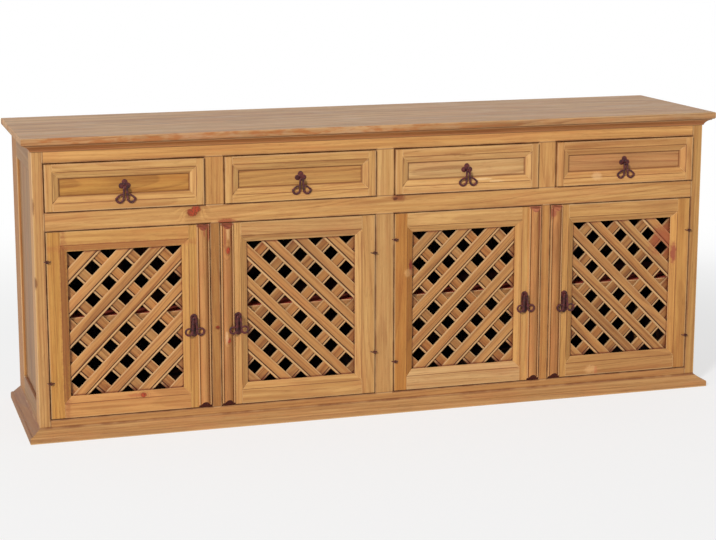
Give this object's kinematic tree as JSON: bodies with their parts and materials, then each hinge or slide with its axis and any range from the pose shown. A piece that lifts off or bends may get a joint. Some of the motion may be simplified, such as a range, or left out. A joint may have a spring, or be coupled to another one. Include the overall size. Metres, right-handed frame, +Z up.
{
  "type": "sideboard cabinet",
  "caption": "Low pine sideboard: panelled drawers over lattice doors with wrought-iron drop pulls, shelves inside, moulded plinth and overhanging top.",
  "frame": {"origin": "on the floor, under the middle of the whole outline", "axes": "+X to the right along the front, +Y to the back, +Z up; the doors and drawers face -Y"},
  "size_m": [2.008, 0.484, 0.823],
  "materials": {
    "waxed_pine": "waxed pine, satin",
    "aged_top_pine": "waxed pine, worn and greyed",
    "inner_pine": "planed pine, unwaxed",
    "half_round_pine": "waxed pine, ends stained dark red",
    "wrought_iron": "forged iron, rust-brown, waxed"
  },
  "bodies": {
    "root": {"top_board": "aged_top_pine", "top_cove": "waxed_pine", "plinth": "waxed_pine", "corner_posts": "waxed_pine", "side_rails": "waxed_pine", "side_panels": "waxed_pine", "face_rails": "waxed_pine", "drawer_muntins": "waxed_pine", "door_uprights": "waxed_pine", "hinge_eyes": "wrought_iron", "back": "inner_pine", "floor_boards": "inner_pine", "partition": "inner_pine", "shelves": "inner_pine", "shelf_cleats": "inner_pine", "drawer_runners": "inner_pine"},
    "drawer_1": {"drawer_1_front_frame": "waxed_pine", "drawer_1_front_panel": "waxed_pine", "drawer_1_box": "inner_pine", "drawer_1_pull_plate": "wrought_iron"},
    "drawer_1_pull": {"drawer_1_pull_drop": "wrought_iron"},
    "drawer_2": {"drawer_2_front_frame": "waxed_pine", "drawer_2_front_panel": "waxed_pine", "drawer_2_box": "inner_pine", "drawer_2_pull_plate": "wrought_iron"},
    "drawer_2_pull": {"drawer_2_pull_drop": "wrought_iron"},
    "drawer_3": {"drawer_3_front_frame": "waxed_pine", "drawer_3_front_panel": "waxed_pine", "drawer_3_box": "inner_pine", "drawer_3_pull_plate": "wrought_iron"},
    "drawer_3_pull": {"drawer_3_pull_drop": "wrought_iron"},
    "drawer_4": {"drawer_4_front_frame": "waxed_pine", "drawer_4_front_panel": "waxed_pine", "drawer_4_box": "inner_pine", "drawer_4_pull_plate": "wrought_iron"},
    "drawer_4_pull": {"drawer_4_pull_drop": "wrought_iron"},
    "door_1": {"door_1_frame": "waxed_pine", "door_1_lattice": "waxed_pine", "door_1_half_round": "half_round_pine", "door_1_hinge_eyes": "wrought_iron", "door_1_pull_plate": "wrought_iron"},
    "door_1_pull": {"door_1_pull_drop": "wrought_iron"},
    "door_2": {"door_2_frame": "waxed_pine", "door_2_lattice": "waxed_pine", "door_2_half_round": "half_round_pine", "door_2_hinge_eyes": "wrought_iron", "door_2_pull_plate": "wrought_iron"},
    "door_2_pull": {"door_2_pull_drop": "wrought_iron"},
    "door_3": {"door_3_frame": "waxed_pine", "door_3_lattice": "waxed_pine", "door_3_half_round": "half_round_pine", "door_3_hinge_eyes": "wrought_iron", "door_3_pull_plate": "wrought_iron"},
    "door_3_pull": {"door_3_pull_drop": "wrought_iron"},
    "door_4": {"door_4_frame": "waxed_pine", "door_4_lattice": "waxed_pine", "door_4_half_round": "half_round_pine", "door_4_hinge_eyes": "wrought_iron", "door_4_pull_plate": "wrought_iron"},
    "door_4_pull": {"door_4_pull_drop": "wrought_iron"}
  },
  "joints": [
    {"name": "drawer_1_slide", "type": "slide", "parent": "root", "child": "drawer_1", "axis": [0, -1, 0], "range_m": [0, 0.3]},
    {"name": "drawer_1_pull_swing", "type": "hinge", "parent": "drawer_1", "child": "drawer_1_pull", "pos_m": [-0.729, -0.2222, 0.682], "axis": [-1, 0, 0], "range_deg": [0, 170]},
    {"name": "drawer_2_slide", "type": "slide", "parent": "root", "child": "drawer_2", "axis": [0, -1, 0], "range_m": [0, 0.3]},
    {"name": "drawer_2_pull_swing", "type": "hinge", "parent": "drawer_2", "child": "drawer_2_pull", "pos_m": [-0.243, -0.2222, 0.682], "axis": [-1, 0, 0], "range_deg": [0, 170]},
    {"name": "drawer_3_slide", "type": "slide", "parent": "root", "child": "drawer_3", "axis": [0, -1, 0], "range_m": [0, 0.3]},
    {"name": "drawer_3_pull_swing", "type": "hinge", "parent": "drawer_3", "child": "drawer_3_pull", "pos_m": [0.243, -0.2222, 0.682], "axis": [-1, 0, 0], "range_deg": [0, 170]},
    {"name": "drawer_4_slide", "type": "slide", "parent": "root", "child": "drawer_4", "axis": [0, -1, 0], "range_m": [0, 0.3]},
    {"name": "drawer_4_pull_swing", "type": "hinge", "parent": "drawer_4", "child": "drawer_4_pull", "pos_m": [0.729, -0.2222, 0.682], "axis": [-1, 0, 0], "range_deg": [0, 170]},
    {"name": "door_1_hinge", "type": "hinge", "parent": "root", "child": "door_1", "pos_m": [-0.944, -0.2179, 0.313], "axis": [0, 0, -1], "range_deg": [0, 110]},
    {"name": "door_1_pull_swing", "type": "hinge", "parent": "door_1", "child": "door_1_pull", "pos_m": [-0.548, -0.2252, 0.313], "axis": [-1, 0, 0], "range_deg": [0, 170]},
    {"name": "door_2_hinge", "type": "hinge", "parent": "root", "child": "door_2", "pos_m": [-0.028, -0.2179, 0.313], "axis": [0, 0, 1], "range_deg": [0, 85]},
    {"name": "door_2_pull_swing", "type": "hinge", "parent": "door_2", "child": "door_2_pull", "pos_m": [-0.424, -0.2252, 0.3095], "axis": [-1, 0, 0], "range_deg": [0, 170]},
    {"name": "door_3_hinge", "type": "hinge", "parent": "root", "child": "door_3", "pos_m": [0.028, -0.2179, 0.313], "axis": [0, 0, -1], "range_deg": [0, 85]},
    {"name": "door_3_pull_swing", "type": "hinge", "parent": "door_3", "child": "door_3_pull", "pos_m": [0.424, -0.2252, 0.313], "axis": [-1, 0, 0], "range_deg": [0, 170]},
    {"name": "door_4_hinge", "type": "hinge", "parent": "root", "child": "door_4", "pos_m": [0.944, -0.2179, 0.313], "axis": [0, 0, 1], "range_deg": [0, 110]},
    {"name": "door_4_pull_swing", "type": "hinge", "parent": "door_4", "child": "door_4_pull", "pos_m": [0.548, -0.2252, 0.307], "axis": [-1, 0, 0], "range_deg": [0, 170]}
  ]
}
